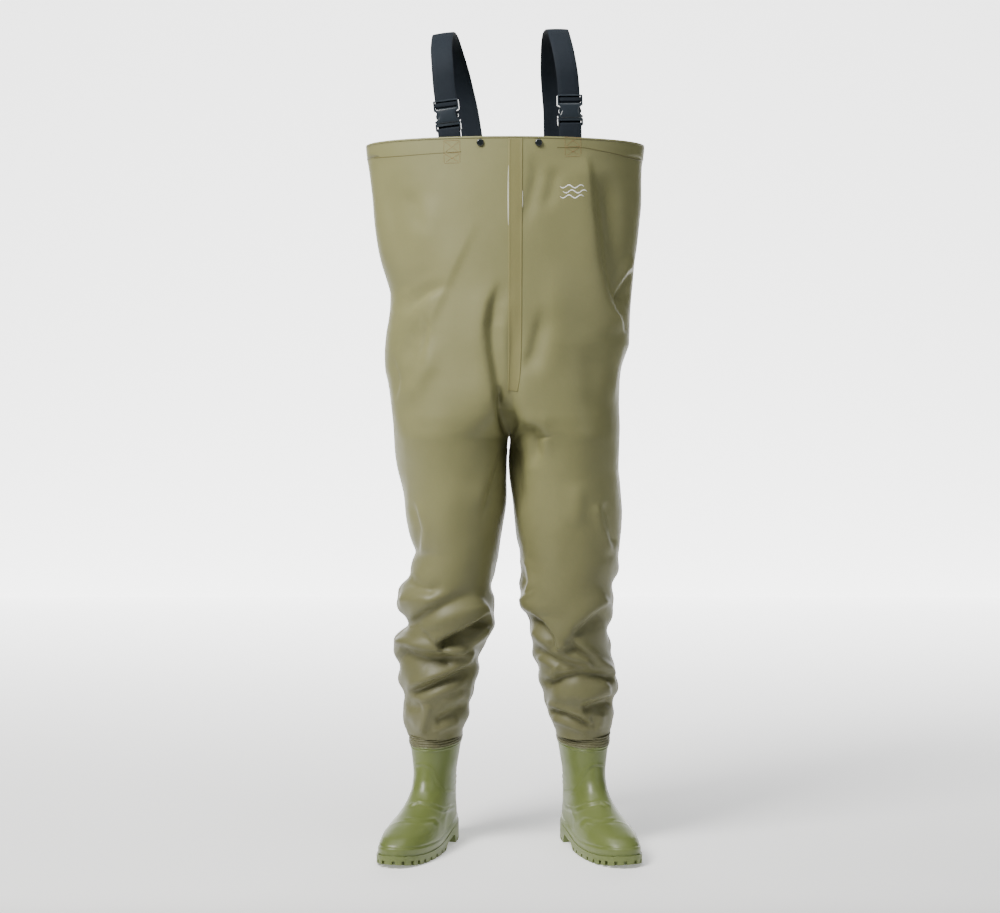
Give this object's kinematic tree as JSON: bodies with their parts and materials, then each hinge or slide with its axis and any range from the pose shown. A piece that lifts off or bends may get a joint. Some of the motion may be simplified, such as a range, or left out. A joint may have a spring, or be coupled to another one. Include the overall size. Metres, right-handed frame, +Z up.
{
  "type": "chest waders",
  "caption": "Waterproof bib-and-leg garment welded to moulded rubber boots, held up by shoulder straps with side-release buckles.",
  "frame": {"origin": "on the floor under the middle of the whole object's box", "axes": "+Z up, front of the garment towards -Y, wearer's left towards +X"},
  "size_m": [0.5218, 0.3524, 1.5152],
  "materials": {
    "coated_fabric": "matt satin coated fabric",
    "seam_tape": "satin welded tape",
    "pocket_fabric": "matt coated fabric",
    "webbing": "woven elastic webbing",
    "buckle_plastic": "glossy moulded plastic",
    "boot_pvc": "satin moulded",
    "sole_pvc": "satin moulded",
    "insole": "felt",
    "lining": "knitted lining",
    "snap_metal": "painted snap"
  },
  "bodies": {
    "root": {"front_panel_right": "coated_fabric", "front_panel_left": "coated_fabric", "back_panel_right": "coated_fabric", "back_panel_left": "coated_fabric", "top_hem_facing": "coated_fabric", "front_seam_tape": "seam_tape", "back_seam_tape": "seam_tape", "side_seam_tape_right": "seam_tape", "side_seam_tape_left": "seam_tape", "inseam_tape_right": "seam_tape", "inseam_tape_left": "seam_tape", "buckle_tab_right": "webbing", "buckle_tab_left": "webbing", "buckle_plug_right": "buckle_plastic", "buckle_plug_left": "buckle_plastic", "back_strap_patch_right": "coated_fabric", "back_strap_patch_left": "coated_fabric", "snap_caps": "snap_metal", "snap_washers": "snap_metal"},
    "strap_right": {"shoulder_strap_right": "webbing"},
    "socket_right": {"buckle_socket_right": "buckle_plastic", "strap_ladder_wrap_right": "webbing"},
    "prong_right_outer": {"buckle_prong_right_outer": "buckle_plastic"},
    "prong_right_inner": {"buckle_prong_right_inner": "buckle_plastic"},
    "boot_right": {"boot_upper_right": "boot_pvc", "boot_outsole_right": "sole_pvc", "boot_insole_right": "insole", "boot_lining_right": "lining", "boot_seam_band_right": "boot_pvc"},
    "strap_left": {"shoulder_strap_left": "webbing"},
    "socket_left": {"buckle_socket_left": "buckle_plastic", "strap_ladder_wrap_left": "webbing"},
    "prong_left_outer": {"buckle_prong_left_outer": "buckle_plastic"},
    "prong_left_inner": {"buckle_prong_left_inner": "buckle_plastic"},
    "boot_left": {"boot_upper_left": "boot_pvc", "boot_outsole_left": "sole_pvc", "boot_insole_left": "insole", "boot_lining_left": "lining", "boot_seam_band_left": "boot_pvc"},
    "pocket": {"inner_pocket": "pocket_fabric", "pocket_snap_sockets": "snap_metal"}
  },
  "joints": [
    {"name": "buckle_release_right", "type": "slide", "parent": "root", "child": "strap_right", "axis": [-0.1098, 0.0128, 0.9939], "range_m": [0, 0.03], "deforming": ["buckle_prong_right_outer", "buckle_prong_right_inner"]},
    {"name": "strap_adjust_right", "type": "slide", "parent": "strap_right", "child": "socket_right", "axis": [-0.1098, 0.0128, 0.9939], "range_m": [0, 0.03]},
    {"name": "prong_squeeze_right_outer", "type": "hinge", "parent": "root", "child": "prong_right_outer", "pos_m": [-0.12372, -0.08618, 1.32782], "axis": [0.1153, 0.9933, 0], "range_deg": [0, 7], "stiffness_Nm_per_rad": 0.12},
    {"name": "prong_squeeze_right_inner", "type": "hinge", "parent": "root", "child": "prong_right_inner", "pos_m": [-0.09874, -0.08908, 1.33062], "axis": [-0.1153, -0.9933, 0], "range_deg": [0, 7], "stiffness_Nm_per_rad": 0.12},
    {"name": "ankle_bend_right", "type": "hinge", "parent": "root", "child": "boot_right", "pos_m": [-0.1385, 0.043, 0.203], "axis": [0.9511, -0.309, 0], "range_deg": [-12, 12], "deforming": ["boot_seam_band_right"]},
    {"name": "buckle_release_left", "type": "slide", "parent": "root", "child": "strap_left", "axis": [-0.0256, -0.0028, 0.9997], "range_m": [0, 0.03], "deforming": ["buckle_prong_left_outer", "buckle_prong_left_inner"]},
    {"name": "strap_adjust_left", "type": "slide", "parent": "strap_left", "child": "socket_left", "axis": [-0.0256, -0.0028, 0.9997], "range_m": [0, 0.03]},
    {"name": "prong_squeeze_left_outer", "type": "hinge", "parent": "root", "child": "prong_left_outer", "pos_m": [0.12238, -0.08671, 1.33871], "axis": [0.1105, -0.9939, 0], "range_deg": [0, 7], "stiffness_Nm_per_rad": 0.12},
    {"name": "prong_squeeze_left_inner", "type": "hinge", "parent": "root", "child": "prong_left_inner", "pos_m": [0.09725, -0.08951, 1.33806], "axis": [-0.1105, 0.9939, 0], "range_deg": [0, 7], "stiffness_Nm_per_rad": 0.12},
    {"name": "ankle_bend_left", "type": "hinge", "parent": "root", "child": "boot_left", "pos_m": [0.1385, 0.043, 0.203], "axis": [0.9511, 0.309, 0], "range_deg": [-12, 12], "deforming": ["boot_seam_band_left"]},
    {"name": "pocket_unsnap", "type": "slide", "parent": "root", "child": "pocket", "axis": [0, 1, 0], "range_m": [0, 0.012]}
  ],
  "couplings": [
    {"joint": "prong_squeeze_right_inner", "follows": "prong_squeeze_right_outer", "ratio": 1},
    {"joint": "prong_squeeze_left_inner", "follows": "prong_squeeze_left_outer", "ratio": 1}
  ]
}
